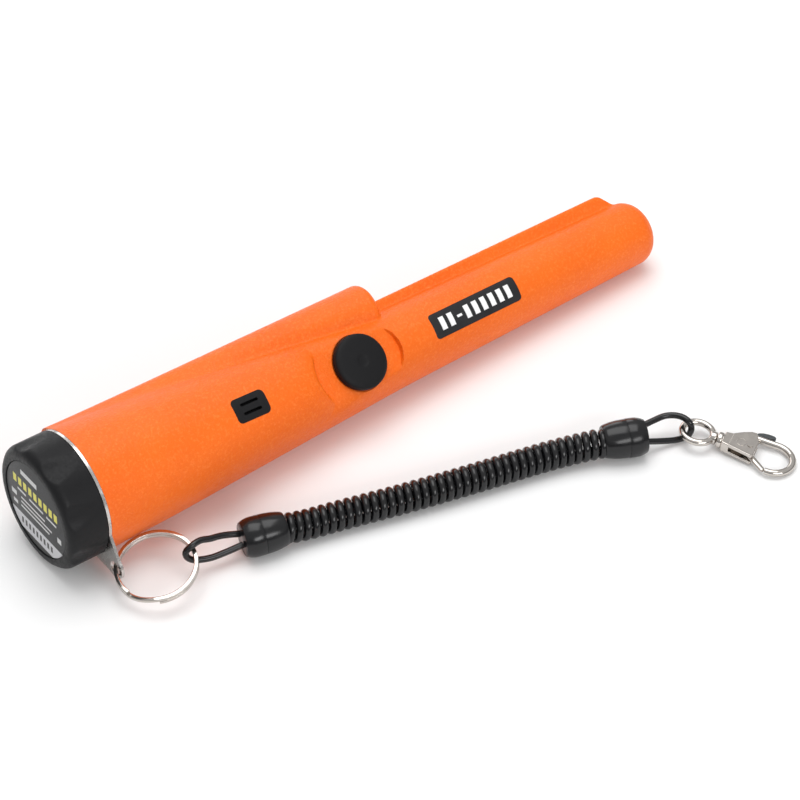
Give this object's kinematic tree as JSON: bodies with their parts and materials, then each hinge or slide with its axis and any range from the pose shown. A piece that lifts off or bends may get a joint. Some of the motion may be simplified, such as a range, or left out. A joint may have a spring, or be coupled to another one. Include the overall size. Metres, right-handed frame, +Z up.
{
  "type": "pinpointer probe",
  "caption": "Hand-held tapered pinpointer probe with push button, speaker grille, lamp housing, scraping blade, screw-off battery cap and a coiled lanyard with a snap hook.",
  "frame": {"origin": "centre of the bottom of the probe's box, without the lanyard, on the surface that it lies on", "axes": "+X along the probe to its tip, +Z up, the lanyard lies on the -Y side"},
  "size_m": [0.2316, 0.1305, 0.0402],
  "materials": {
    "orange_plastic": "fine spark-eroded texture, satin",
    "black_plastic": "fine moulded texture",
    "label_print": "printed film, satin",
    "button_rubber": "smooth satin",
    "seal_rubber": "smooth",
    "foam": "closed-cell foam",
    "steel": "bright rolled",
    "nickel": "polished nickel plate",
    "dark_lever": "dark grey",
    "cord_black": "glossy coated cord",
    "ferrule_black": "glossy moulded",
    "lens_clear": "clear",
    "led_body": "clear epoxy",
    "board_green": "solder mask",
    "chip_black": "moulded package",
    "capacitor_blue": "sleeve",
    "ivory_plastic": "moulded",
    "grey_plastic": "moulded",
    "battery_case": "lacquered case",
    "red_wire": "insulation",
    "black_wire": "insulation",
    "membrane": "thin film",
    "ferrite": "sintered",
    "copper": "enamelled copper wire"
  },
  "bodies": {
    "probe": {"probe_shell": "orange_plastic", "cap_seal": "seal_rubber", "lanyard_washer": "steel", "side_label": "label_print", "button_seal": "seal_rubber", "speaker_grille": "black_plastic", "grille_membrane": "membrane", "buzzer": "chip_black", "buzzer_mount": "ivory_plastic", "led_lens": "lens_clear", "led": "led_body", "led_leads": "steel", "main_board": "board_green", "board_chips": "chip_black", "board_capacitors": "capacitor_blue", "switch_body": "chip_black", "chassis": "grey_plastic", "board_screws": "steel", "bulkhead": "grey_plastic", "bulkhead_screws": "steel", "battery": "battery_case", "battery_studs": "steel", "battery_snap": "black_plastic", "positive_lead": "red_wire", "negative_lead": "black_wire", "motor_can": "steel", "motor_clip": "grey_plastic", "ferrite_core": "ferrite", "coil_former": "ivory_plastic", "transmit_coil": "copper", "receive_coil": "copper", "coil_leads": "copper"},
    "cap_carrier": {"cap_pad": "foam"},
    "cap": {"battery_cap": "black_plastic", "cap_label": "label_print"},
    "button": {"power_button": "button_rubber", "button_clip": "steel"},
    "plunger": {"switch_plunger": "ivory_plastic"},
    "motor_rotor": {"motor_weight": "steel"},
    "ring": {"split_ring": "nickel"},
    "lanyard": {"lanyard_loop_a": "cord_black", "ferrule_a": "ferrule_black", "lanyard_coil": "cord_black", "ferrule_b": "ferrule_black", "lanyard_loop_b": "cord_black"},
    "eye": {"swivel_eye": "nickel"},
    "hook": {"hook_body": "nickel", "gate_pin": "nickel", "gate_spring": "steel"},
    "gate": {"hook_gate": "dark_lever"}
  },
  "joints": [
    {"name": "cap_slide", "type": "slide", "parent": "probe", "child": "cap_carrier", "axis": [-0.9994, 0, 0.0348], "range_m": [0, 0.01]},
    {"name": "cap_turn", "type": "hinge", "parent": "cap_carrier", "child": "cap", "pos_m": [-0.11019, 0.01039, 0.02038], "axis": [-0.9994, 0, 0.0348], "range_deg": [0, 900]},
    {"name": "button_press", "type": "slide", "parent": "probe", "child": "button", "axis": [-0.0254, 0.682, -0.7309], "range_m": [0, 0.001], "stiffness_N_per_m": 1500},
    {"name": "plunger_press", "type": "slide", "parent": "probe", "child": "plunger", "axis": [-0.0254, 0.682, -0.7309], "range_m": [0, 0.001]},
    {"name": "motor_spin", "type": "hinge", "parent": "probe", "child": "motor_rotor", "pos_m": [-0.03354, 0.01489, 0.01], "axis": [0.9983, -0.0209, -0.0543], "continuous": true},
    {"name": "ring_swing", "type": "hinge", "parent": "probe", "child": "ring", "pos_m": [-0.10284, -0.01069, 0.00629], "axis": [-0.6402, -0.7438, -0.1923], "range_deg": [-8, 3]},
    {"name": "lanyard_swing", "type": "hinge", "parent": "ring", "child": "lanyard", "pos_m": [-0.09419, -0.01831, 0.007], "axis": [-0.1727, -0.1045, 0.9794], "range_deg": [-60, 12]},
    {"name": "eye_swing", "type": "hinge", "parent": "lanyard", "child": "eye", "pos_m": [0.06481, -0.06821, 0.0042], "axis": [0, 0, 1], "range_deg": [-12, 12]},
    {"name": "hook_swivel", "type": "hinge", "parent": "eye", "child": "hook", "pos_m": [0.07032, -0.07784, 0.00345], "axis": [0.4736, -0.8759, -0.0924], "continuous": true},
    {"name": "gate_open", "type": "hinge", "parent": "hook", "child": "gate", "pos_m": [0.07495, -0.08598, 0.00259], "axis": [0.0439, -0.0813, 0.9957], "range_deg": [0, 25], "stiffness_Nm_per_rad": 0.02, "springref_deg": -22.92}
  ],
  "couplings": [
    {"joint": "cap_turn", "follows": "cap_slide", "rad_per_m": 1570.8},
    {"joint": "plunger_press", "follows": "button_press", "ratio": 1}
  ]
}
